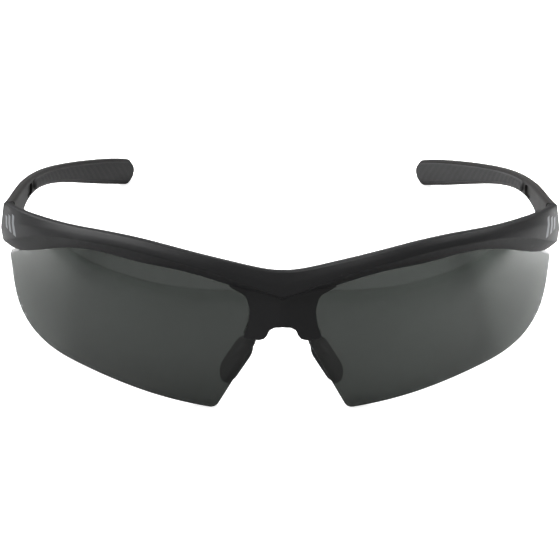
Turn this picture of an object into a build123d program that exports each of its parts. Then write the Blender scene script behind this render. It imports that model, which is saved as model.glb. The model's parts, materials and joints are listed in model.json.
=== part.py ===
from build123d import *
import math
import os

# Wrap-around safety glasses: a half frame over two smoke lenses, folding temples with soft
# grips, and nose pads on bendable wires.
# Millimetres. The pieces are drawn as worn: X to the wearer's left, Y to the back of the head,
# Z up, the middle of the brow foremost at Y = 0 and the hinges at Z = 0. At the end they are
# tipped back until the lenses and the temple tips rest on one level.
os.makedirs("parts", exist_ok=True)

# ---- driving sizes ----
overall_width = 147.6       # across the outer faces of the end pieces
lens_drop = 43.6            # from hinge height down to the lowest edge of the lenses
hinge_depth = 38.0          # from the brow's front to the faces where the temples meet the frame
temple_length = 112.0       # from that face to the end of the tip, measured front to back
half_width = overall_width / 2

# lenses
lens_thickness = 2.2
lens_centre_x = 14.4        # the two spherical lenses are centred this far from the middle
lens_centre_z = -11.0
lens_front = 3.5            # foremost point of a lens behind the brow's foremost point
lens_wrap = 32.4            # how far a lens sweeps back from there to its outer corner
lens_margin = 2.5           # outer lens corner inside the widest point of the frame
lens_toe_x = 17.0           # lowest inner corner of a lens from the middle
lens_toe_radius = 2.2
lens_seat = 3.0             # how deep the upper edge sits in the groove
groove_clearance = 0.04

lens_out = half_width - lens_margin
lens_reach = lens_out - lens_centre_x
lens_radius = (lens_reach ** 2 + lens_wrap ** 2) / (2 * lens_wrap)
lens_centre_y = lens_front + lens_radius
lens_centre = (lens_centre_x, lens_centre_y, lens_centre_z)

# brow: one row for each section, from the middle outwards
# (share of half width, lead of the front face over the lens sphere, top, front edge,
#  lower edge, thickness)
brow_rows = [
    (0.000, 4.98, -4.4, -10.8, -12.6, 6.4),
    (0.075, 3.97, -4.0, -9.1, -11.0, 6.6),
    (0.164, 3.14, -2.7, -6.6, -9.1, 6.9),
    (0.315, 2.84, -0.2, -3.1, -5.8, 6.8),
    (0.452, 2.67, 1.85, -0.9, -4.2, 6.6),
    (0.575, 2.32, 3.05, 0.4, -2.8, 6.3),
    (0.685, 2.22, 3.5, 0.7, -2.1, 6.1),
    (0.795, 2.01, 3.7, 0.2, -3.3, 5.8),
    (0.897, 2.14, 4.2, -1.8, -5.8, 5.3),
    (0.966, 2.10, 4.6, -4.2, -6.9, 4.5),
]
brow_lean = 1.7             # the front face leans back by this much at its top
brow_crown = 0.3            # and bulges by this much between its edges
brow_back_drop = 0.7        # the top face falls this much towards the back
brow_back_rise = 2.2        # the wall behind the lens ends this far above the front one
brow_front_lip = 2.2        # the dark under-facet ends this far behind the front at the middle
corner_radii = (0.45, 2.5, 0.8, 0.8, 0.6, 0.25)

# end pieces and hinges
end_thickness = 3.8
end_top = 4.6
end_bottom = -6.6
pivot_inset = 4.8           # hinge pin from the widest point
knuckle_radius = 1.9
knuckle_heights = (2.0, 2.8, 2.0)
knuckle_gap = 0.1
knuckle_bottom = -4.7
knuckle_relief = 0.3
knuckle_web = 3.6           # length of a barrel's foot along the end piece
knuckle_root = 0.6          # and its depth into the wall
butt_gap = 0.12
pin_radius = 0.8
pin_clearance = 0.05
thread_clearance = 0.02
screw_head_radius = 1.3
screw_head_height = 0.9
screw_slot_width = 0.45
screw_slot_depth = 0.4

pivot_x = half_width - pivot_inset

# bridge and legs, in the plane of the face: (x, z)
bridge_front = 1.3
bridge_back = 7.6
bridge_fall = 2.2           # the face falls back to each side of its middle ridge
bridge_ridge = 0.8
bridge_side = 9.0
bridge_outline = [
    (0, -8.5), (12.0, -7.0), (13.6, -8.9), (9.2, -11.4), (8.2, -15.0), (8.6, -18.5),
    (9.9, -22.4), (6.0, -22.7), (4.6, -22.2), (3.9, -21.3), (3.3, -19.9), (2.0, -19.1),
    (0, -18.9),
]
bridge_radii = (0.5, 0.5, 3.0, 6.0, 6.0, 0.7, 0.5, 0.6, 0.8, 1.0, 1.5)
lens_nose_edge = [(7.0, -12.5), (6.7, -16.5), (6.8, -21.5), (7.1, -24.5)]

# nose pads and their wires
wire_radius = 0.6
wire_clearance = 0.05
wire_root = Vector(6.0, 7.7, -17.0)
wire_direction = Vector(0.25, 0.26, -0.93).normalized()
wire_in_leg = 6.4           # length of wire held in the leg
wire_straight = 9.0         # straight run before the wire turns to the pad
wire_bend = 2.5
boss_radius = 1.9
boss_cap = 1.6              # solid above the end of the wire
pad_gap = 0.3
pad_neck_radius = 1.45
pad_centre = Vector(11.6, 14.6, -30.9)
pad_down = Vector(0.485, 0.29, -0.826).normalized()
pad_back = Vector(0.24, 0.87, 0.445).normalized()
pad_length = 14.0
pad_width = 7.2
pad_thickness = 3.0
pad_edge_radius = 1.3

# temples: one row for each section (share of the length, inset, height, half height, half
# thickness)
temple_rows = [
    (0.000, 0.0, -1.0, 5.6, 1.9),
    (0.152, 0.6, 0.9, 3.3, 1.65),
    (0.330, 1.9, 1.2, 2.35, 1.5),
    (0.509, 5.2, -0.5, 2.4, 1.5),
    (0.688, 10.9, -3.8, 3.1, 1.6),
    (0.839, 17.6, -7.1, 3.8, 1.7),
]
tip_inset = 23.8
tip_height = -10.0
tip_half_height = 4.0
tip_half_thickness = 1.7
temple_edge_radius = 0.8
temple_crowns = (1.0, 0.8, 0.5, 0.3, 0.1, 0.0, 0.0)      # how far each section bulges outwards
temple_radii = (3.0, 0.8, 0.8, 0.8, 0.6)

# soft grips on the inner faces of the temples
grip_first_row = 2          # the grip starts at this temple section
grip_rim = 0.85             # hard plastic left showing round the grip
grip_sink = 0.9
grip_stand = 0.5
grip_edge_radius = 0.45

recess_length = 7.5         # finger recess moulded in front of the grip
recess_height = 3.0
recess_depth = 0.8
recess_share = 0.84         # between the section before the grip and its first one

tip_share = 1 - tip_half_height / temple_length
hinge_line_x = half_width - end_thickness / 2


def lens_span(share):
    """A distance from the middle, between a lens's toe and its outer corner."""
    return lens_toe_x + share * (lens_out - lens_toe_x)


def on_sphere(x, lead):
    """A point in plan, the given distance outside the lens sphere."""
    reach = lens_radius + lead
    across = x - lens_centre_x
    return Vector(x, lens_centre_y - math.sqrt(reach ** 2 - across ** 2), 0)


# ---- lenses ----
def lens_solid(grow):
    """A lens, or with grow the room between the walls of its groove."""
    top = [(share * half_width, low + lens_seat) for share, _, _, _, low, _ in brow_rows[1:7]]
    toe = (lens_toe_x, -lens_drop)
    rim = [(0.304, 0.917), (0.646, 0.791), (0.790, 0.728), (0.895, 0.633), (0.954, 0.516),
           (0.985, 0.344)]
    lower = [(lens_span(s), -lens_drop * d) for s, d in rim]
    corner = (lens_out, -0.202 * lens_drop)
    upper = [corner, (lens_span(0.941), -0.156 * lens_drop)] + top[::-1]
    with BuildPart() as solid:
        with BuildSketch(Plane.XZ) as outline:
            with BuildLine():
                Spline(toe, *lower, corner)
                Spline(*upper)
                Polyline(upper[-1], (7.6, -9.6), *lens_nose_edge, toe)
            make_face()
            fillet(outline.vertices().sort_by(Axis.Y)[0], lens_toe_radius)
        extrude(amount=-(lens_centre_y + 5))
        with Locations(lens_centre):
            Sphere(lens_radius + grow, mode=Mode.INTERSECT)
            Sphere(lens_radius - lens_thickness - grow, mode=Mode.SUBTRACT)
    return solid.part


with BuildPart() as left_lens:
    add(lens_solid(0))

with BuildPart() as right_lens:
    mirror(left_lens.part, about=Plane.YZ)


# ---- hinge ----
band_tops = []
level = knuckle_bottom
for knuckle_height in knuckle_heights:
    level += knuckle_height
    band_tops.append(level)
    level += knuckle_gap
hinge_top = band_tops[2]


def knuckle(band, side, radius=knuckle_radius, web=True):
    """One barrel of the hinge. side is -1 with its web towards the frame, 1 towards the temple."""
    height = knuckle_heights[band]
    foot = band_tops[band] - height
    wall_x = half_width - end_thickness + knuckle_root
    with BuildPart() as barrel:
        with BuildSketch(Plane.XY.offset(foot)):
            with Locations((pivot_x, hinge_depth)):
                Circle(radius)
            if web:
                with BuildLine():
                    Polyline(
                        (pivot_x - radius, hinge_depth),
                        (pivot_x - radius, hinge_depth + side * 0.2),
                        (wall_x - 1.2, hinge_depth + side * knuckle_web),
                        (wall_x, hinge_depth + side * knuckle_web),
                        (wall_x, hinge_depth),
                        close=True,
                    )
                make_face()
        extrude(amount=height)
    return barrel.part


def hinge_bore(radius):
    with BuildPart() as bore:
        with BuildSketch(Plane.XY.offset(knuckle_bottom - 1)):
            with Locations((pivot_x, hinge_depth)):
                Circle(radius)
        extrude(amount=hinge_top - knuckle_bottom + 2)
    return bore.part


def hinge_relief(band):
    """Room for the other side's barrel."""
    height = knuckle_heights[band] + 2 * knuckle_gap
    if band != 1:
        height += 3
    foot = band_tops[band] - knuckle_heights[band] - knuckle_gap - (3 if band == 0 else 0)
    with BuildPart() as room:
        with BuildSketch(Plane.XY.offset(foot)):
            with Locations((pivot_x, hinge_depth)):
                Circle(knuckle_radius + knuckle_relief)
        extrude(amount=height)
    return room.part


with BuildPart() as left_hinge_screw:
    with BuildSketch(Plane.XY.offset(knuckle_bottom)):
        with Locations((pivot_x, hinge_depth)):
            Circle(pin_radius)
    extrude(amount=hinge_top - knuckle_bottom - screw_head_height)
    with BuildSketch(Plane.XY.offset(hinge_top - screw_head_height)):
        with Locations((pivot_x, hinge_depth)):
            Circle(screw_head_radius)
    extrude(amount=screw_head_height)
    with BuildSketch(Plane.XY.offset(hinge_top)):
        with Locations((pivot_x, hinge_depth)):
            Rectangle(3 * screw_head_radius, screw_slot_width)
    extrude(amount=-screw_slot_depth, mode=Mode.SUBTRACT)

with BuildPart() as right_hinge_screw:
    mirror(left_hinge_screw.part, about=Plane.YZ)


# ---- nose pads on their wires ----
pad_facing = pad_down.cross(pad_back)
wire_exit = wire_root + wire_direction * wire_in_leg
wire_turn = wire_root + wire_direction * wire_straight
wire_tip = pad_centre + pad_down * (pad_length / 4)

with BuildPart() as left_pad_wire:
    with BuildLine() as wire_route:
        FilletPolyline(wire_root, wire_turn, wire_tip, radius=wire_bend)
    with BuildSketch(Plane(origin=wire_root, z_dir=wire_direction)):
        Circle(wire_radius)
    sweep()

with BuildPart() as left_nose_pad:
    with BuildSketch(Plane(origin=pad_centre, x_dir=pad_down, z_dir=pad_facing)):
        SlotOverall(pad_length, pad_width)
    extrude(amount=pad_thickness / 2, both=True)
    fillet(left_nose_pad.edges(), pad_edge_radius)
    neck_start = wire_exit + wire_direction * pad_gap
    with BuildLine() as neck_route:
        FilletPolyline(neck_start, wire_turn, pad_centre, radius=wire_bend)
    with BuildSketch(Plane(origin=neck_start, z_dir=wire_direction)):
        Circle(pad_neck_radius)
    sweep()
    add(left_pad_wire.part, mode=Mode.SUBTRACT)

with BuildPart() as right_pad_wire:
    mirror(left_pad_wire.part, about=Plane.YZ)

with BuildPart() as right_nose_pad:
    mirror(left_nose_pad.part, about=Plane.YZ)


# ---- front frame ----
def bar_profile(half_height, half_thick, crown):
    """Corners of a section through a temple, its outer face bulging with the crown, 0 to 1."""
    full = [(-1.0, -0.22), (-0.5, 1.0), (0.85, 1.0), (1.0, -1.0), (-0.45, -1.0)]
    slight = [(-1.0, 0.0), (-0.84, 1.0), (1.0, 1.0), (1.0, -1.0), (-0.84, -1.0)]
    return [
        ((crown * a + (1 - crown) * c) * half_thick, (crown * b + (1 - crown) * d) * half_height)
        for (a, b), (c, d) in zip(full, slight)
    ]


def headings(points, first, last):
    """The direction of a run of points at each of them, with the two ends given."""
    middle = [(after - before).normalized() for before, after in zip(points, points[2:])]
    return [first] + middle + [last]


brow_points = [on_sphere(share * half_width, lead) for share, lead, *_ in brow_rows]
brow_points.append(Vector(half_width, hinge_depth, 0))
brow_headings = headings(brow_points, Vector(1, 0, 0), Vector(0, 1, 0))
end_half_height = (end_top - end_bottom) / 2
end_middle = (end_top + end_bottom) / 2
end_corners = [(-0.75, -0.84), (-1.0, -0.22), (-0.5, 1.0), (0.85, 1.0), (1.0, -1.0), (-0.1, -1.0)]
brow_profiles = []
for share, lead, top, edge, low, thick in brow_rows:
    lip = min(lead, brow_front_lip) if share == 0 else lead
    brow_profiles.append([
        (0, edge), (brow_lean / 2 - brow_crown, (edge + top) / 2), (brow_lean, top),
        (thick - brow_back_drop, top - brow_back_drop), (thick, low + brow_back_rise), (lip, low),
    ])
brow_profiles.append([
    (end_thickness / 2 * (1 + across), end_middle + up * end_half_height)
    for across, up in end_corners
])

with BuildPart() as half_brow:
    for point, heading, profile in zip(brow_points, brow_headings, brow_profiles):
        inward = Vector(-heading.Y, heading.X, 0)
        with BuildSketch(Plane(origin=point, x_dir=inward, z_dir=heading)):
            with BuildLine():
                FilletPolyline(profile, radius=corner_radii, close=True)
            make_face()
    loft()

with BuildPart() as half_bridge:
    with BuildSketch(Plane.XZ.offset(-bridge_front)):
        with BuildLine():
            FilletPolyline(bridge_outline, radius=bridge_radii)
            Line(bridge_outline[-1], bridge_outline[0])
        make_face()
    extrude(amount=-(bridge_back - bridge_front))
    with BuildSketch(Plane.XY):
        with BuildLine():
            Polyline(
                (bridge_ridge, bridge_front), (bridge_side, bridge_front + bridge_fall),
                (2 * bridge_side, bridge_front + bridge_fall), (2 * bridge_side, 0),
                (bridge_ridge, 0), close=True,
            )
        make_face()
    extrude(amount=-lens_drop, mode=Mode.SUBTRACT)


with BuildPart() as half_frame:
    add(half_brow.part)
    add(half_bridge.part)
    with BuildSketch(Plane(origin=wire_exit, z_dir=wire_direction)):
        Circle(boss_radius)
    extrude(amount=-(wire_in_leg + boss_cap))
    add(hinge_relief(1), mode=Mode.SUBTRACT)
    add(knuckle(0, -1))
    add(knuckle(2, -1))
    add(hinge_bore(pin_radius + thread_clearance), mode=Mode.SUBTRACT)
    with BuildSketch(Plane.XY.offset(hinge_top)):
        with Locations((pivot_x, hinge_depth)):
            Circle(screw_head_radius + thread_clearance)
    extrude(amount=-screw_head_height, mode=Mode.SUBTRACT)
    add(lens_solid(groove_clearance), mode=Mode.SUBTRACT)
    with BuildSketch(Plane(origin=wire_exit, z_dir=wire_direction)):
        Circle(wire_radius + wire_clearance)
    extrude(amount=-wire_in_leg, mode=Mode.SUBTRACT)

with BuildPart() as front_frame:
    add(half_frame.part)
    mirror(half_frame.part, about=Plane.YZ)


# ---- temples ----
temple_points = [
    Vector(hinge_line_x - inset, hinge_depth + share * temple_length, height)
    for share, inset, height, _, _ in temple_rows
]
temple_points.append(
    Vector(hinge_line_x - tip_inset, hinge_depth + tip_share * temple_length, tip_height)
)
temple_halves = [(half_height, half_thick) for *_, half_height, half_thick in temple_rows]
temple_halves.append((tip_half_height, tip_half_thickness))
tip_heading = (temple_points[-1] - temple_points[-2]).normalized()
temple_headings = headings(temple_points, Vector(0, 1, 0), tip_heading)
temple_planes = [
    Plane(origin=point, x_dir=Vector(-heading.Y, heading.X, 0).normalized(), z_dir=heading)
    for point, heading in zip(temple_points, temple_headings)
]


def rounded_end(plane, half_height, thickness, shift, radius, turn):
    """Half a disc that rounds off a flat bar at one of its sections."""
    side = Plane(origin=plane.origin, x_dir=plane.z_dir * turn, z_dir=plane.x_dir)
    with BuildPart() as cap:
        with BuildSketch(side.offset(shift - thickness / 2)) as half_disc:
            Circle(half_height)
            with Locations((-half_height, 0)):
                Rectangle(2 * half_height, 4 * half_height, mode=Mode.SUBTRACT)
        extrude(amount=thickness)
        round_edges = cap.edges().filter_by(GeomType.CIRCLE)
        fillet(round_edges, radius)
    return cap.part


grip_thickness = grip_sink + grip_stand


def grip_shift(half_thick):
    """Centre of the grip from the temple's centre, towards the head."""
    return half_thick + grip_stand - grip_thickness / 2


recess_start = temple_points[grip_first_row - 1]
recess_end = temple_points[grip_first_row]
recess_heading = (recess_end - recess_start).normalized()
recess_inward = Vector(-recess_heading.Y, recess_heading.X, 0).normalized()
recess_middle = recess_start + (recess_end - recess_start) * recess_share
recess_middle -= recess_heading * recess_length / 2
recess_plane = Plane(
    origin=recess_middle + recess_inward * temple_halves[grip_first_row][1],
    x_dir=recess_heading, z_dir=recess_inward,
)

with BuildPart() as left_temple_grip:
    for plane, (half_height, half_thick) in list(zip(temple_planes, temple_halves))[grip_first_row:]:
        with BuildSketch(plane):
            with Locations((grip_shift(half_thick), 0)):
                RectangleRounded(grip_thickness, 2 * (half_height - grip_rim), grip_edge_radius)
    loft()
    for row, turn in ((grip_first_row, -1), (-1, 1)):
        half_height, half_thick = temple_halves[row]
        add(rounded_end(temple_planes[row], half_height - grip_rim, grip_thickness,
                        grip_shift(half_thick), grip_edge_radius, turn))

with BuildPart() as left_temple:
    for plane, (half_height, half_thick), crown in zip(temple_planes, temple_halves, temple_crowns):
        with BuildSketch(plane):
            with BuildLine():
                FilletPolyline(bar_profile(half_height, half_thick, crown), radius=temple_radii,
                               close=True)
            make_face()
    loft()
    add(rounded_end(temple_planes[-1], tip_half_height, 2 * tip_half_thickness, 0,
                    temple_edge_radius, 1))
    with BuildSketch(Plane.XZ.offset(-hinge_depth)):
        Rectangle(4 * half_width, 4 * (end_top - end_bottom))
    extrude(amount=-butt_gap, mode=Mode.SUBTRACT)
    add(hinge_relief(0), mode=Mode.SUBTRACT)
    add(hinge_relief(2), mode=Mode.SUBTRACT)
    add(knuckle(1, 1))
    add(hinge_bore(pin_radius + pin_clearance), mode=Mode.SUBTRACT)
    add(left_temple_grip.part, mode=Mode.SUBTRACT)
    with BuildSketch(recess_plane):
        SlotOverall(recess_length, recess_height)
    extrude(amount=-recess_depth, mode=Mode.SUBTRACT)

with BuildPart() as right_temple:
    mirror(left_temple.part, about=Plane.YZ)

with BuildPart() as right_temple_grip:
    mirror(left_temple_grip.part, about=Plane.YZ)


# ---- at rest: tipped back until lenses and tips share one level ----
def lowest(shape, tilt):
    return shape.rotate(Axis.X, -tilt).bounding_box().min.Z


low_tilt = 0.0
high_tilt = 30.0
for _ in range(24):
    rest_tilt = (low_tilt + high_tilt) / 2
    if lowest(left_lens.part, rest_tilt) < lowest(left_temple.part, rest_tilt):
        low_tilt = rest_tilt
    else:
        high_tilt = rest_tilt

worn = {
    "front_frame": front_frame,
    "left_lens": left_lens,
    "right_lens": right_lens,
    "left_temple": left_temple,
    "right_temple": right_temple,
    "left_temple_grip": left_temple_grip,
    "right_temple_grip": right_temple_grip,
    "left_hinge_screw": left_hinge_screw,
    "right_hinge_screw": right_hinge_screw,
    "left_nose_pad": left_nose_pad,
    "right_nose_pad": right_nose_pad,
    "left_pad_wire": left_pad_wire,
    "right_pad_wire": right_pad_wire,
}
tipped = {label: piece.part.rotate(Axis.X, -rest_tilt) for label, piece in worn.items()}
box = Compound(children=list(tipped.values())).bounding_box()
rest_shift = Vector(0, -(box.min.Y + box.max.Y) / 2, -box.min.Z)

for label, shape in tipped.items():
    with BuildPart() as piece:
        add(shape.moved(Location(rest_shift)))
    piece.part.label = label
    export_step(piece.part, f"parts/{label}.step")

print("tilt", round(rest_tilt, 3), "shift", rest_shift, "size", box.size)
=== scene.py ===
"""Looks for a pair of wrap-around safety glasses, round the fixed frame of the CAD model.

Metres, in the model's own frame: X to the wearer's left, Y from the front to the temple tips,
Z up from the surface that the glasses rest on.
"""
import json
import math

import bpy
import numpy as np
from mathutils import Matrix, Vector

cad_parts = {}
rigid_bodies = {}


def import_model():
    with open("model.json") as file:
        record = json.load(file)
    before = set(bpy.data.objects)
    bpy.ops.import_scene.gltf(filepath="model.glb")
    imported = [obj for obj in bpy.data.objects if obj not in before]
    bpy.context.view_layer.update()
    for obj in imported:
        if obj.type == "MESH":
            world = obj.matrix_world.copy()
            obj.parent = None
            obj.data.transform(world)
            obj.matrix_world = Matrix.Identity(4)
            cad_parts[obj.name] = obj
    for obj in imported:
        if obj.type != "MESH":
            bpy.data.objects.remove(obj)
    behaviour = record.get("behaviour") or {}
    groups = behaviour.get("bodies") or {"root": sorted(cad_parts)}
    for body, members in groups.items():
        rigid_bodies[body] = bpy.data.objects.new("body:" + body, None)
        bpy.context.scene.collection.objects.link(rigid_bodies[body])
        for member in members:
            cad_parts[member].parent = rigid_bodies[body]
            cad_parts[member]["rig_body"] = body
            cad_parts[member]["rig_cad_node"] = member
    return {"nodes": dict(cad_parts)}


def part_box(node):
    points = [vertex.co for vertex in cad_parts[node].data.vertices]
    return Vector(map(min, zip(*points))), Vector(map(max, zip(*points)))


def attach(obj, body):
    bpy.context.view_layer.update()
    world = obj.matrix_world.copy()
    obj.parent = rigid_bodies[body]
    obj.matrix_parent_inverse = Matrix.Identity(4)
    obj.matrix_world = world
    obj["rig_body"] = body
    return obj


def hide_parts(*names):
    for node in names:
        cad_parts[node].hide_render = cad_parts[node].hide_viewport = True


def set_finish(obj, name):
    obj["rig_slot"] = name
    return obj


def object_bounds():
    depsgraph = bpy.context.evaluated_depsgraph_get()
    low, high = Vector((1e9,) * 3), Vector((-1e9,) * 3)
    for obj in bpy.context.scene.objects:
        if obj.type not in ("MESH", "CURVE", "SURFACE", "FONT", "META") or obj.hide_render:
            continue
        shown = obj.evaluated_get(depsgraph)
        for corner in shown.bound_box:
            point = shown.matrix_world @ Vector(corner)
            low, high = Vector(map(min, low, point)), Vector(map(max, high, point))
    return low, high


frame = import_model()
CAD_LOW, CAD_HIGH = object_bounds()
NODES = frame["nodes"]
FRONT_LOW, FRONT_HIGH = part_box("front_frame")

bl_info = {
    "name": "Wrap safety glasses",
    "version": (1, 0, 0),
    "blender": (4, 5, 0),
    "location": "3D View > Sidebar > Glasses",
    "description": "Finishes and detail for half-frame safety glasses with smoke lenses",
    "category": "Object",
}

MM = 0.001
SIDES = ("left", "right")
WELD = 0.002 * MM           # triangles of a CAD copy meet within this
SHARP_ANGLE = math.radians(32)


# ---------------------------------------------------------------- settings
class GLASSES_PG_finish(bpy.types.PropertyGroup):
    nylon_colour: bpy.props.FloatVectorProperty(
        name="Nylon", description="Colour of the moulded frame and temples",
        subtype="COLOR", size=4, default=(0.0125, 0.0125, 0.0135, 1.0))
    temple_colour: bpy.props.FloatVectorProperty(
        name="Temple nylon", description="Colour of the moulded temples",
        subtype="COLOR", size=4, default=(0.0175, 0.0160, 0.0152, 1.0))
    nylon_roughness: bpy.props.FloatProperty(
        name="Nylon roughness", description="Satin finish of the moulded nylon",
        subtype="FACTOR", min=0.0, max=1.0, default=0.46)
    rubber_colour: bpy.props.FloatVectorProperty(
        name="Grip rubber", description="Colour of the soft grips",
        subtype="COLOR", size=4, default=(0.050, 0.050, 0.051, 1.0))
    pad_colour: bpy.props.FloatVectorProperty(
        name="Pad rubber", description="Colour of the nose pads",
        subtype="COLOR", size=4, default=(0.0095, 0.0095, 0.0105, 1.0))
    print_colour: bpy.props.FloatVectorProperty(
        name="Printed bars", description="Colour of the bars printed on the end pieces",
        subtype="COLOR", size=4, default=(0.19, 0.20, 0.21, 1.0))
    lens_tint: bpy.props.FloatVectorProperty(
        name="Lens tint", description="Light let through by the smoke lens",
        subtype="COLOR", size=4, default=(0.090, 0.100, 0.092, 1.0))


class GLASSES_PG_shape(bpy.types.PropertyGroup):
    lens_edge: bpy.props.FloatProperty(
        name="Lens edge break", description="Width of the polished break round a lens",
        subtype="DISTANCE", unit="LENGTH", default=0.12 * MM)
    grip_ripple_pitch: bpy.props.FloatProperty(
        name="Grip ripple pitch", description="From one ripple of a grip to the next",
        subtype="DISTANCE", unit="LENGTH", default=3.3 * MM)
    grip_ripple_height: bpy.props.FloatProperty(
        name="Grip ripple height", description="From the valleys to the crests of the ripples",
        subtype="DISTANCE", unit="LENGTH", default=0.06 * MM)
    grip_crown: bpy.props.FloatProperty(
        name="Grip crown", description="How much the middle of a grip stands above its edges",
        subtype="DISTANCE", unit="LENGTH", default=0.3 * MM)
    pad_dish: bpy.props.FloatProperty(
        name="Pad dish", description="Hollow in the face of a nose pad",
        subtype="DISTANCE", unit="LENGTH", default=0.45 * MM)


class GLASSES_PG_stage(bpy.types.PropertyGroup):
    camera_distance: bpy.props.FloatProperty(
        name="Camera distance", description="From the aim point to the camera",
        subtype="DISTANCE", unit="LENGTH", default=0.52)
    camera_azimuth: bpy.props.FloatProperty(
        name="Camera azimuth", description="Turn of the view about the vertical",
        subtype="ANGLE", default=math.radians(-1.1))
    camera_elevation: bpy.props.FloatProperty(
        name="Camera elevation", description="Height of the view above the floor",
        subtype="ANGLE", default=math.radians(27.52))
    camera_roll: bpy.props.FloatProperty(
        name="Camera roll", description="Turn of the view about its own axis",
        subtype="ANGLE", default=math.radians(0.65))
    focal_length: bpy.props.FloatProperty(
        name="Focal length", description="Of the lens, for a 36 mm sensor, in millimetres",
        default=130.2)
    floor_colour: bpy.props.FloatVectorProperty(
        name="Floor", description="Colour of the floor",
        subtype="COLOR", size=4, default=(0.95, 0.95, 0.95, 1.0))
    floor_glow: bpy.props.FloatProperty(
        name="Floor glow", description="Light of its own that keeps the floor white",
        min=0.0, default=0.9)
    floor_bounce: bpy.props.FloatVectorProperty(
        name="Floor bounce", description="Colour of the light that the floor throws back up",
        subtype="COLOR", size=4, default=(0.45, 0.45, 0.45, 1.0))


# ---------------------------------------------------------------- shader helpers
def nodes_of(material):
    material.use_nodes = True
    tree = material.node_tree
    tree.nodes.clear()
    return tree


def add_node(tree, kind, **values):
    """A node with its properties and inputs set; an underscore in an input's name is a space."""
    node = tree.nodes.new(kind)
    for key, value in values.items():
        if hasattr(node, key):
            setattr(node, key, value)
        else:
            node.inputs[key.replace("_", " ")].default_value = value
    return node


def math_node(tree, operation, *inputs):
    """A Math node; each input is a number or an output socket. Returns its output."""
    node = add_node(tree, "ShaderNodeMath", operation=operation)
    for socket, value in zip(node.inputs, inputs):
        if isinstance(value, (int, float)):
            socket.default_value = value
        else:
            tree.links.new(value, socket)
    return node.outputs[0]


def map_range(tree, value, source, target=(0.0, 1.0), smooth=False):
    """Takes a value from the source range to the target range. Returns its output."""
    node = add_node(tree, "ShaderNodeMapRange",
                    interpolation_type="SMOOTHSTEP" if smooth else "LINEAR")
    tree.links.new(value, node.inputs["Value"])
    limits = ("From Min", "From Max", "To Min", "To Max")
    for name, limit in zip(limits, (*source, *target)):
        if isinstance(limit, (int, float)):
            node.inputs[name].default_value = limit
        else:
            tree.links.new(limit, node.inputs[name])
    return node.outputs[0]


def new_group(name, inputs, outputs):
    """An empty shader node group; inputs are (name, kind, default) and outputs (name, kind)."""
    tree = bpy.data.node_groups.new(name, "ShaderNodeTree")
    for label, kind, value in inputs:
        socket = tree.interface.new_socket(label, in_out="INPUT", socket_type=f"NodeSocket{kind}")
        socket.default_value = value
    for label, kind in outputs:
        tree.interface.new_socket(label, in_out="OUTPUT", socket_type=f"NodeSocket{kind}")
    return tree, tree.nodes.new("NodeGroupInput").outputs, tree.nodes.new("NodeGroupOutput").inputs


CLOUD_RANGE = (0.3, 0.7)    # of the cloudy noise, from the darkest to the lightest tone


def grain_group():
    """Spark texture of moulded plastic or rubber: a cloudy tone, a roughness and a height."""
    tree, given, result = new_group(
        "moulded_grain",
        [("Colour", "Color", (0.03, 0.03, 0.03, 1.0)), ("Variation", "Float", 0.2),
         ("Grain Size", "Float", 0.3 * MM), ("Relief", "Float", 0.3),
         ("Roughness", "Float", 0.5), ("Roughness Spread", "Float", 0.16)],
        [("Colour", "Color"), ("Roughness", "Float"), ("Height", "Float")])
    place = tree.nodes.new("ShaderNodeTexCoord").outputs["Object"]
    spark = add_node(tree, "ShaderNodeTexNoise", Detail=4.0, Roughness=0.65)
    tree.links.new(place, spark.inputs["Vector"])
    tree.links.new(math_node(tree, "DIVIDE", 1.0, given["Grain Size"]), spark.inputs["Scale"])
    cloud = add_node(tree, "ShaderNodeTexNoise", Scale=60.0, Detail=4.0, Roughness=0.55)
    tree.links.new(place, cloud.inputs["Vector"])
    darker = math_node(tree, "SUBTRACT", 1.0, given["Variation"])
    lighter = math_node(tree, "ADD", 1.0, given["Variation"])
    shade = map_range(tree, cloud.outputs["Fac"], CLOUD_RANGE, (darker, lighter))
    tone = add_node(tree, "ShaderNodeVectorMath", operation="SCALE")
    tree.links.new(given["Colour"], tone.inputs[0])
    tree.links.new(shade, tone.inputs["Scale"])
    tree.links.new(tone.outputs[0], result["Colour"])
    centred = math_node(tree, "SUBTRACT", cloud.outputs["Fac"], 0.5)
    spread = math_node(tree, "MULTIPLY", centred, given["Roughness Spread"])
    tree.links.new(math_node(tree, "ADD", spread, given["Roughness"]), result["Roughness"])
    tree.links.new(math_node(tree, "MULTIPLY", spark.outputs["Fac"], given["Relief"]),
                   result["Height"])
    return tree


SCUFF_STRETCH = (1.0, 0.08, 1.0)
SCUFF_TURN = (0.2, 0.5, 0.9)
SCUFF_RANGE = (0.66, 0.76)  # of the noise, where a scuff begins and is full
DUST_RANGE = (0.72, 0.78)


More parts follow.
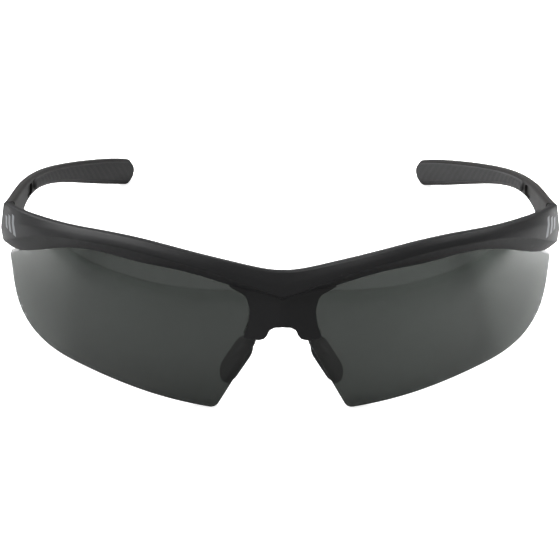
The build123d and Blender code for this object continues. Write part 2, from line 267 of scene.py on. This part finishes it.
def wear_group():
    """Handling wear: fine scuffs and a little dust, as masks from 0 to 1."""
    tree, given, result = new_group(
        "handling_wear",
        [("Scuff Scale", "Float", 700.0), ("Scuff Amount", "Float", 0.3),
         ("Dust Amount", "Float", 0.1)],
        [("Scuffs", "Float"), ("Dust", "Float")])
    place = tree.nodes.new("ShaderNodeTexCoord").outputs["Object"]
    stretch = add_node(tree, "ShaderNodeMapping")
    stretch.inputs["Scale"].default_value = SCUFF_STRETCH
    stretch.inputs["Rotation"].default_value = SCUFF_TURN
    tree.links.new(place, stretch.inputs["Vector"])
    lines = add_node(tree, "ShaderNodeTexNoise", Detail=2.0, Roughness=0.4)
    tree.links.new(stretch.outputs[0], lines.inputs["Vector"])
    tree.links.new(given["Scuff Scale"], lines.inputs["Scale"])
    thin = map_range(tree, lines.outputs["Fac"], SCUFF_RANGE, smooth=True)
    tree.links.new(math_node(tree, "MULTIPLY", thin, given["Scuff Amount"]), result["Scuffs"])
    specks = add_node(tree, "ShaderNodeTexNoise", Scale=2600.0, Detail=1.0)
    tree.links.new(place, specks.inputs["Vector"])
    few = map_range(tree, specks.outputs["Fac"], DUST_RANGE, smooth=True)
    tree.links.new(math_node(tree, "MULTIPLY", few, given["Dust Amount"]), result["Dust"])
    return tree


def place_group(tree, builder, name, **values):
    """A shared node group placed in a material with its own values."""
    node = tree.nodes.new("ShaderNodeGroup")
    node.node_tree = bpy.data.node_groups.get(name) or builder()
    for key, value in values.items():
        node.inputs[key.replace("_", " ")].default_value = value
    return node


def mix_colour(tree, share, first, second):
    """Mixes two colours, each a socket or a plain value, by a share from a socket."""
    node = add_node(tree, "ShaderNodeMix", data_type="RGBA")
    tree.links.new(share, node.inputs["Factor"])
    for socket, value in ((node.inputs[6], first), (node.inputs[7], second)):
        if hasattr(value, "links"):
            tree.links.new(value, socket)
        else:
            socket.default_value = value
    return node.outputs[2]


DUST_COLOUR = (0.16, 0.155, 0.15, 1.0)


def moulded_material(name, colour, roughness, grain_size, relief, variation, specular=0.5,
                     scuffs=0.25, dust=0.12, marks=None):
    """Moulded plastic or rubber; marks is a function that adds a printed mask, with its colour."""
    material = bpy.data.materials.new(name)
    tree = nodes_of(material)
    grain = place_group(tree, grain_group, "moulded_grain", Colour=colour, Variation=variation,
                        Grain_Size=grain_size, Relief=relief, Roughness=roughness)
    wear = place_group(tree, wear_group, "handling_wear", Scuff_Amount=scuffs, Dust_Amount=dust)
    base = mix_colour(tree, wear.outputs["Dust"], grain.outputs["Colour"], DUST_COLOUR)
    if marks:
        mask, ink = marks(tree)
        base = mix_colour(tree, mask, base, ink)
    polish = math_node(tree, "MULTIPLY", wear.outputs["Scuffs"], -0.35)
    finish = math_node(tree, "ADD", grain.outputs["Roughness"], polish)
    bump = add_node(tree, "ShaderNodeBump", Strength=0.5, Distance=0.1 * MM)
    shader = tree.nodes.new("ShaderNodeBsdfPrincipled")
    shader.inputs["Specular IOR Level"].default_value = specular
    output = tree.nodes.new("ShaderNodeOutputMaterial")
    tree.links.new(grain.outputs["Height"], bump.inputs["Height"])
    tree.links.new(base, shader.inputs["Base Color"])
    tree.links.new(finish, shader.inputs["Roughness"])
    tree.links.new(bump.outputs["Normal"], shader.inputs["Normal"])
    tree.links.new(shader.outputs[0], output.inputs["Surface"])
    return material


# printed bars on the end pieces: three slanted bars, each shorter than the one before
BAR_PITCH = 2.3 * MM
BAR_SLANT = 0.9
BAR_COUNT = 3
BAR_FILL = 0.55
PRINT_FRONT = FRONT_LOW.y + 29.9 * MM
PRINT_LOW = FRONT_HIGH.z - 9.6 * MM
PRINT_HEIGHT = 4.2 * MM
BAR_STEP = 0.2 * PRINT_HEIGHT
BAR_FACING = 0.3            # how squarely a printed face looks outwards


def printed_bars(ink):
    """A function that adds the mask of the printed bars to a material's tree."""
    def add_to(tree):
        place = tree.nodes.new("ShaderNodeTexCoord")
        split = tree.nodes.new("ShaderNodeSeparateXYZ")
        tree.links.new(place.outputs["Object"], split.inputs[0])
        sideways, back, up = split.outputs
        facing = tree.nodes.new("ShaderNodeSeparateXYZ")
        tree.links.new(place.outputs["Normal"], facing.inputs[0])
        outward = math_node(tree, "MULTIPLY", facing.outputs["X"], sideways)
        outside = math_node(tree, "GREATER_THAN", outward, BAR_FACING * FRONT_HIGH.x)
        rise = math_node(tree, "SUBTRACT", up, PRINT_LOW)
        lean = math_node(tree, "MULTIPLY", rise, -BAR_SLANT)
        along = math_node(tree, "ADD", math_node(tree, "SUBTRACT", back, PRINT_FRONT), lean)
        count = math_node(tree, "DIVIDE", along, BAR_PITCH)
        step = math_node(tree, "FRACT", count)
        bar = math_node(tree, "LESS_THAN", step, BAR_FILL)
        index = math_node(tree, "FLOOR", count)
        after = math_node(tree, "GREATER_THAN", count, 0.0)
        before = math_node(tree, "LESS_THAN", count, float(BAR_COUNT))
        shorten = math_node(tree, "MULTIPLY", index, BAR_STEP)
        top = math_node(tree, "SUBTRACT", PRINT_HEIGHT, shorten)
        under = math_node(tree, "LESS_THAN", rise, top)
        above = math_node(tree, "GREATER_THAN", rise, 0.0)
        mask = bar
        for limit in (after, before, under, above, outside):
            mask = math_node(tree, "MULTIPLY", mask, limit)
        return mask, ink
    return add_to


POLYCARBONATE_IOR = 1.586
LENS_SMEAR = 0.05           # roughness that a finger-marked lens gains at most


def lens_material(name, tint):
    material = bpy.data.materials.new(name)
    tree = nodes_of(material)
    shader = tree.nodes.new("ShaderNodeBsdfPrincipled")
    shader.inputs["Base Color"].default_value = tint
    shader.inputs["Transmission Weight"].default_value = 1.0
    shader.inputs["IOR"].default_value = POLYCARBONATE_IOR
    wear = place_group(tree, wear_group, "handling_wear", Scuff_Scale=900.0, Scuff_Amount=0.06,
                       Dust_Amount=0.10)
    film = add_node(tree, "ShaderNodeTexNoise", Scale=38.0, Detail=3.0)
    place = tree.nodes.new("ShaderNodeTexCoord").outputs["Object"]
    tree.links.new(place, film.inputs["Vector"])
    smear = math_node(tree, "MULTIPLY", film.outputs["Fac"], LENS_SMEAR)
    marks = math_node(tree, "ADD", wear.outputs["Scuffs"], wear.outputs["Dust"])
    tree.links.new(math_node(tree, "ADD", smear, marks), shader.inputs["Roughness"])
    output = tree.nodes.new("ShaderNodeOutputMaterial")
    tree.links.new(shader.outputs[0], output.inputs["Surface"])
    return material


def steel_material(name, colour, roughness):
    """Turned or drawn stainless steel, with fine tool lines."""
    material = bpy.data.materials.new(name)
    tree = nodes_of(material)
    grain = place_group(tree, grain_group, "moulded_grain", Colour=colour, Variation=0.12,
                        Grain_Size=0.12 * MM, Relief=0.35, Roughness=roughness)
    wear = place_group(tree, wear_group, "handling_wear", Scuff_Scale=2500.0, Scuff_Amount=0.5,
                       Dust_Amount=0.05)
    rough = math_node(tree, "ADD", grain.outputs["Roughness"],
                      math_node(tree, "MULTIPLY", wear.outputs["Scuffs"], 0.3))
    bump = add_node(tree, "ShaderNodeBump", Strength=0.3, Distance=0.02 * MM)
    shader = tree.nodes.new("ShaderNodeBsdfPrincipled")
    shader.inputs["Metallic"].default_value = 1.0
    output = tree.nodes.new("ShaderNodeOutputMaterial")
    tree.links.new(grain.outputs["Height"], bump.inputs["Height"])
    tree.links.new(grain.outputs["Colour"], shader.inputs["Base Color"])
    tree.links.new(rough, shader.inputs["Roughness"])
    tree.links.new(bump.outputs["Normal"], shader.inputs["Normal"])
    tree.links.new(shader.outputs[0], output.inputs["Surface"])
    return material


# ---------------------------------------------------------------- mesh helpers
def dress(obj, material):
    obj.data.materials.clear()
    obj.data.materials.append(material)


def smooth_shading():
    """A geometry node group that shades a mesh smoothly and keeps its sharp edges."""
    found = bpy.data.node_groups.get("smooth_curved_faces")
    if found:
        return found
    tree = bpy.data.node_groups.new("smooth_curved_faces", "GeometryNodeTree")
    tree.interface.new_socket("Geometry", in_out="INPUT", socket_type="NodeSocketGeometry")
    tree.interface.new_socket("Geometry", in_out="OUTPUT", socket_type="NodeSocketGeometry")
    given = tree.nodes.new("NodeGroupInput")
    result = tree.nodes.new("NodeGroupOutput")
    angle = tree.nodes.new("GeometryNodeInputMeshEdgeAngle")
    gentle = add_node(tree, "ShaderNodeMath", operation="LESS_THAN")
    gentle.inputs[1].default_value = SHARP_ANGLE
    edges = add_node(tree, "GeometryNodeSetShadeSmooth", domain="EDGE")
    faces = add_node(tree, "GeometryNodeSetShadeSmooth", domain="FACE")
    tree.links.new(given.outputs[0], edges.inputs["Geometry"])
    tree.links.new(angle.outputs["Unsigned Angle"], gentle.inputs[0])
    tree.links.new(gentle.outputs[0], edges.inputs["Shade Smooth"])
    tree.links.new(edges.outputs[0], faces.inputs["Geometry"])
    tree.links.new(faces.outputs[0], result.inputs[0])
    return tree


def finish_node(node, material, slot):
    """A CAD node's material, with its triangles welded and its curved faces shaded smoothly."""
    dress(node, material)
    weld = node.modifiers.new("weld", "WELD")
    weld.merge_threshold = WELD
    smooth = node.modifiers.new("smooth", "NODES")
    smooth.node_group = smooth_shading()
    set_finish(node, slot)


def only(obj):
    """Deselects everything but one object, which becomes active."""
    bpy.ops.object.select_all(action="DESELECT")
    obj.select_set(True)
    bpy.context.view_layer.objects.active = obj


def copy_of(name, new_name):
    """A welded copy of a CAD node, free of its body."""
    node = NODES[name]
    copy = node.copy()
    copy.data = node.data.copy()
    copy.name = new_name
    copy.data.name = new_name
    bpy.context.scene.collection.objects.link(copy)
    copy.parent = None
    copy.matrix_world = Matrix.Identity(4)
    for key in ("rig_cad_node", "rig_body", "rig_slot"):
        if key in copy:
            del copy[key]
    copy.modifiers.clear()
    only(copy)
    bpy.ops.object.mode_set(mode="EDIT")
    bpy.ops.mesh.select_all(action="SELECT")
    bpy.ops.mesh.remove_doubles(threshold=WELD)
    bpy.ops.object.mode_set(mode="OBJECT")
    return copy


def apply_modifier(obj, kind, **values):
    """Adds a modifier with its values and applies it."""
    modifier = obj.modifiers.new(kind.lower(), kind)
    for key, value in values.items():
        setattr(modifier, key, value)
    only(obj)
    bpy.ops.object.modifier_apply(modifier=modifier.name)


def stand_in(piece, node, body, slot, material):
    """The piece takes a CAD node's place on its body."""
    dress(piece, material)
    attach(piece, body)
    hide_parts(node)
    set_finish(piece, slot)


def read_points(obj):
    """A mesh's points and normals as two arrays."""
    points = np.empty(len(obj.data.vertices) * 3)
    obj.data.vertices.foreach_get("co", points)
    normals = np.array([v.normal[:] for v in obj.data.vertices])
    return points.reshape(-1, 3), normals


def write_points(obj, points):
    obj.data.vertices.foreach_set("co", points.ravel())
    obj.data.update()


def smoothstep(value, low, high):
    share = np.clip((value - low) / (high - low), 0, 1)
    return share * share * (3 - 2 * share)


# ---------------------------------------------------------------- operators
class GLASSES_OT_frame(bpy.types.Operator):
    """Finish the front frame and the temples"""
    bl_idname = "glasses.frame"
    bl_label = "Frame and temples"

    def execute(self, context):
        finish = context.scene.glasses_finish
        nylon = moulded_material("satin_nylon", finish.temple_colour, finish.nylon_roughness,
                                 0.30 * MM, 0.5, 0.12)
        printed = moulded_material("satin_nylon_printed", finish.nylon_colour,
                                   finish.nylon_roughness, 0.30 * MM, 0.5, 0.12,
                                   specular=0.42, marks=printed_bars(finish.print_colour))
        finish_node(NODES["front_frame"], printed, "frame_plastic")
        for side in SIDES:
            finish_node(NODES[f"{side}_temple"], nylon, "frame_plastic")
        return {"FINISHED"}


class GLASSES_OT_lenses(bpy.types.Operator):
    """Make the two lenses with their polished edges"""
    bl_idname = "glasses.lenses"
    bl_label = "Lenses"

    def execute(self, context):
        scene = context.scene
        smoke = lens_material("smoke_polycarbonate", scene.glasses_finish.lens_tint)
        for side in SIDES:
            lens = copy_of(f"{side}_lens", f"{side}_smoke_lens")
            apply_modifier(lens, "BEVEL", width=scene.glasses_shape.lens_edge, segments=2,
                           limit_method="ANGLE", angle_limit=math.radians(50))
            only(lens)
            bpy.ops.object.shade_smooth_by_angle(angle=SHARP_ANGLE)
            stand_in(lens, f"{side}_lens", "front", "lens", smoke)
        return {"FINISHED"}


GRIP_VOXEL = 0.26 * MM
GRIP_STATIONS = 60          # slices along a grip in which its height is measured
GRIP_FACING = (0.35, 0.8)   # how squarely a face looks at the head, for no relief and for all
GRIP_RIM = (0.55, 0.95)     # share of the half height where the ripples begin to fade and end
GRIP_FRONT_FADE = 6 * MM
GRIP_BACK_FADE = 5 * MM
RIPPLE_SLANT = 0.8


class GLASSES_OT_grips(bpy.types.Operator):
    """Mould the soft grips, with their crown and ripples"""
    bl_idname = "glasses.grips"
    bl_label = "Temple grips"

    def execute(self, context):
        shape = context.scene.glasses_shape
        rubber = moulded_material("grip_rubber", context.scene.glasses_finish.rubber_colour,
                                  0.62, 0.25 * MM, 0.9, 0.14, specular=0.4, scuffs=0.1, dust=0.3)
        for side in SIDES:
            grip = copy_of(f"{side}_temple_grip", f"{side}_soft_grip")
            apply_modifier(grip, "REMESH", mode="VOXEL", voxel_size=GRIP_VOXEL)
            apply_modifier(grip, "SMOOTH", factor=0.5, iterations=4)
            self.mould(grip, side, shape)
            only(grip)
            bpy.ops.object.shade_smooth()
            stand_in(grip, f"{side}_temple_grip", f"{side}_arm", "grip_rubber", rubber)
        return {"FINISHED"}

    def mould(self, grip, side, shape):
        """Raises the crown and the slanted ripples on the face towards the head."""
        points, normals = read_points(grip)
        inward = -1.0 if side == "left" else 1.0
        back = points[:, 1]
        edges = np.linspace(back.min(), back.max() + MM / 100, GRIP_STATIONS + 1)
        station = np.digitize(back, edges) - 1
        low = np.array([points[station == i, 2].min() for i in range(GRIP_STATIONS)])
        high = np.array([points[station == i, 2].max() for i in range(GRIP_STATIONS)])
        middles = (edges[1:] + edges[:-1]) / 2
        centre = np.interp(back, middles, (low + high) / 2)
        half = np.interp(back, middles, (high - low) / 2)
        across = np.clip((points[:, 2] - centre) / half, -1, 1)
        facing = smoothstep(normals[:, 0] * inward, *GRIP_FACING)
        rim = 1 - smoothstep(np.abs(across), *GRIP_RIM)
        ends = smoothstep(back, back.min(), back.min() + GRIP_FRONT_FADE)
        ends *= 1 - smoothstep(back, back.max() - GRIP_BACK_FADE, back.max())
        slanted = back + RIPPLE_SLANT * (points[:, 2] - centre)
        phase = slanted * 2 * math.pi / shape.grip_ripple_pitch
        ripple = 0.5 * shape.grip_ripple_height * np.cos(phase) * rim * ends
        crown = shape.grip_crown * (1 - across ** 2)
        points += normals * (facing * (ripple + crown))[:, None]
        write_points(grip, points)


PAD_VOXEL = 0.2 * MM
PAD_FACE = (0.842, -0.326, 0.431)       # left pad, from its nose side to its lens side
PAD_LONG = (0.485, 0.104, -0.869)       # left pad, down its length
PAD_HALF_LENGTH = 7.0 * MM
PAD_HALF_WIDTH = 3.6 * MM
PAD_DISH = (0.25, 0.85)                 # share of the way to the rim: full depth, and none
PAD_FACING = (0.4, 0.9)                 # how squarely a face looks at the nose


class GLASSES_OT_pads(bpy.types.Operator):
    """Mould the nose pads"""
    bl_idname = "glasses.pads"
    bl_label = "Nose pads"

    def execute(self, context):
        shape = context.scene.glasses_shape
        rubber = moulded_material("pad_rubber", context.scene.glasses_finish.pad_colour,
                                  0.42, 0.35 * MM, 0.4, 0.1, scuffs=0.15, dust=0.2)
        for side in SIDES:
            pad = copy_of(f"{side}_nose_pad", f"{side}_soft_pad")
            apply_modifier(pad, "REMESH", mode="VOXEL", voxel_size=PAD_VOXEL)
            apply_modifier(pad, "SMOOTH", factor=0.5, iterations=5)
            self.mould(pad, side, shape)
            only(pad)
            bpy.ops.object.shade_smooth()
            stand_in(pad, f"{side}_nose_pad", f"{side}_pad", "pad_rubber", rubber)
        return {"FINISHED"}

    def mould(self, pad, side, shape):
        """Dishes the face that meets the nose, and leaves a soft bead round it."""
        points, normals = read_points(pad)
        mirror = 1.0 if side == "left" else -1.0
        flip = np.array([mirror, 1.0, 1.0])
        face = np.array(PAD_FACE) * flip
        long_way = np.array(PAD_LONG) * flip
        short_way = np.cross(face, long_way)
        centre = points[points[:, 2] < np.median(points[:, 2])].mean(axis=0)
        along = (points - centre) @ long_way / PAD_HALF_LENGTH
        across = (points - centre) @ short_way / PAD_HALF_WIDTH
        reach = np.sqrt(along ** 2 + across ** 2)
        dish = 1 - smoothstep(reach, *PAD_DISH)
        facing = smoothstep(-(normals @ face), *PAD_FACING)
        points += face * (shape.pad_dish * dish * facing)[:, None]
        write_points(pad, points)


SCREW_COLOUR = (0.50, 0.50, 0.51, 1.0)
SCREW_ROUGHNESS = 0.32
WIRE_COLOUR = (0.44, 0.44, 0.45, 1.0)
WIRE_ROUGHNESS = 0.26


class GLASSES_OT_steel(bpy.types.Operator):
    """Finish the screws and the pad wires"""
    bl_idname = "glasses.steel"
    bl_label = "Screws and wires"

    def execute(self, context):
        screw = steel_material("turned_steel", SCREW_COLOUR, SCREW_ROUGHNESS)
        wire = steel_material("drawn_wire", WIRE_COLOUR, WIRE_ROUGHNESS)
        for side in SIDES:
            finish_node(NODES[f"{side}_hinge_screw"], screw, "screw_steel")
            finish_node(NODES[f"{side}_pad_wire"], wire, "pad_wire")
        return {"FINISHED"}


def area_light(name, place, aim, size, power, spread):
    data = bpy.data.lights.new(name, "AREA")
    data.spread = math.radians(spread)
    data.shape = "RECTANGLE"
    data.size, data.size_y = size
    data.energy = power
    light = bpy.data.objects.new(name, data)
    bpy.context.scene.collection.objects.link(light)
    light.location = place
    light.rotation_euler = (Vector(aim) - Vector(place)).to_track_quat("-Z", "Y").to_euler()


FLOOR_SIZE = 6.0
FLOOR_FADE = (-0.50, CAD_LOW.y)     # from the front, where the bounced light is weaker
FLOOR_FRONT_BOUNCE = (0.22, 0.22, 0.22, 1.0)
ROOM_SPAN = (-1.0, 0.2)             # directions from the front to a little behind
ROOM_LIGHT = (0.48, 0.26)           # strength of the room's light over that span
LIGHTS = (                          # name, place, aim, size, watts, spread in degrees
    ("key", (-0.55, 0.15, 0.85), (0.0, 0.0, 0.0), (1.3, 1.3), 11.0, 180.0),
    ("left_floor", (-0.30, 0.06, 0.25), (-0.29, 0.06, 0.0), (0.16, 0.3), 1.1, 80.0),
    ("right_floor", (0.30, 0.06, 0.25), (0.29, 0.06, 0.0), (0.16, 0.3), 2.0, 80.0),
)
CAMERA_AIM = (-0.45 * MM, FRONT_LOW.y + 19.83 * MM, FRONT_HIGH.z - 16.74 * MM)


class GLASSES_OT_stage(bpy.types.Operator):
    """Floor, lights, surroundings and camera"""
    bl_idname = "glasses.stage"
    bl_label = "Stage"

    def execute(self, context):
        stage = context.scene.glasses_stage
        context.scene.view_settings.view_transform = "Standard"
        self.lay_floor(stage)
        self.light(context.scene)
        self.place_camera(context.scene, stage)
        return {"FINISHED"}

    def lay_floor(self, stage):
        bpy.ops.object.select_all(action="DESELECT")
        bpy.ops.mesh.primitive_plane_add(size=FLOOR_SIZE, location=(0, 0, 0))
        floor = bpy.context.object
        floor.name = "floor"
        paper = bpy.data.materials.new("floor_paper")
        tree = nodes_of(paper)
        shades = []
        for colour in (stage.floor_colour, stage.floor_bounce):
            shader = tree.nodes.new("ShaderNodeBsdfPrincipled")
            shader.inputs["Base Color"].default_value = colour
            shader.inputs["Roughness"].default_value = 0.9
            shader.inputs["Specular IOR Level"].default_value = 0.1
            shades.append(shader)
        shades[0].inputs["Emission Color"].default_value = stage.floor_colour
        shades[0].inputs["Emission Strength"].default_value = stage.floor_glow
        self.fade_in_front(tree, stage, shades[1])
        path = tree.nodes.new("ShaderNodeLightPath")
        bounced = math_node(tree, "MAXIMUM", path.outputs["Is Diffuse Ray"],
                            path.outputs["Is Glossy Ray"])
        mixed = tree.nodes.new("ShaderNodeMixShader")
        output = tree.nodes.new("ShaderNodeOutputMaterial")
        tree.links.new(bounced, mixed.inputs[0])
        tree.links.new(shades[0].outputs[0], mixed.inputs[1])
        tree.links.new(shades[1].outputs[0], mixed.inputs[2])
        tree.links.new(mixed.outputs[0], output.inputs["Surface"])
        floor.data.materials.append(paper)

    def fade_in_front(self, tree, stage, shader):
        """The light thrown back up fades towards the front of the floor."""
        place = tree.nodes.new("ShaderNodeTexCoord").outputs["Object"]
        split = tree.nodes.new("ShaderNodeSeparateXYZ")
        tree.links.new(place, split.inputs[0])
        fade = map_range(tree, split.outputs["Y"], FLOOR_FADE, smooth=True)
        colour = mix_colour(tree, fade, FLOOR_FRONT_BOUNCE, tuple(stage.floor_bounce))
        tree.links.new(colour, shader.inputs["Base Color"])

    def light(self, scene):
        """A soft room, with a light overhead and one over the floor at each side."""
        world = bpy.data.worlds.new("studio")
        scene.world = world
        world.use_nodes = True
        sky = world.node_tree
        sky.nodes.clear()
        place = sky.nodes.new("ShaderNodeTexCoord")
        split = sky.nodes.new("ShaderNodeSeparateXYZ")
        back = sky.nodes.new("ShaderNodeBackground")
        output = sky.nodes.new("ShaderNodeOutputWorld")
        sky.links.new(place.outputs["Generated"], split.inputs[0])
        strength = map_range(sky, split.outputs["Y"], ROOM_SPAN, ROOM_LIGHT)
        sky.links.new(strength, back.inputs["Strength"])
        sky.links.new(back.outputs[0], output.inputs["Surface"])
        for values in LIGHTS:
            area_light(*values)

    def place_camera(self, scene, stage):
        aim = Vector(CAMERA_AIM)
        data = bpy.data.cameras.new("camera")
        data.lens = stage.focal_length
        data.sensor_width = 36.0
        data.clip_start = 0.01
        camera = bpy.data.objects.new("camera", data)
        scene.collection.objects.link(camera)
        turn, rise = stage.camera_azimuth, stage.camera_elevation
        backwards = Vector((math.sin(turn) * math.cos(rise), -math.cos(turn) * math.cos(rise),
                            math.sin(rise)))
        camera.location = aim + stage.camera_distance * backwards
        facing = backwards.to_track_quat("Z", "Y").to_matrix()
        camera.rotation_euler = (facing @ Matrix.Rotation(stage.camera_roll, 3, "Z")).to_euler()
        scene.camera = camera


class GLASSES_PT_panel(bpy.types.Panel):
    """Lists the steps that finish the glasses"""
    bl_idname = "GLASSES_PT_panel"
    bl_label = "Safety glasses"
    bl_space_type = "VIEW_3D"
    bl_region_type = "UI"
    bl_category = "Glasses"

    def draw(self, context):
        for operator in OPERATORS:
            self.layout.operator(operator.bl_idname)


OPERATORS = (GLASSES_OT_stage, GLASSES_OT_frame, GLASSES_OT_lenses, GLASSES_OT_grips,
             GLASSES_OT_pads, GLASSES_OT_steel)
GROUPS = (GLASSES_PG_finish, GLASSES_PG_shape, GLASSES_PG_stage)
CLASSES = (*GROUPS, *OPERATORS, GLASSES_PT_panel)


def register():
    for cls in CLASSES:
        bpy.utils.register_class(cls)
    bpy.types.Scene.glasses_finish = bpy.props.PointerProperty(type=GLASSES_PG_finish)
    bpy.types.Scene.glasses_shape = bpy.props.PointerProperty(type=GLASSES_PG_shape)
    bpy.types.Scene.glasses_stage = bpy.props.PointerProperty(type=GLASSES_PG_stage)


def unregister():
    del bpy.types.Scene.glasses_stage
    del bpy.types.Scene.glasses_shape
    del bpy.types.Scene.glasses_finish
    for cls in reversed(CLASSES):
        bpy.utils.unregister_class(cls)


def main():
    register()
    bpy.ops.glasses.stage()
    bpy.ops.glasses.frame()
    bpy.ops.glasses.lenses()
    bpy.ops.glasses.grips()
    bpy.ops.glasses.pads()
    bpy.ops.glasses.steel()


if __name__ == "__main__":
    main()
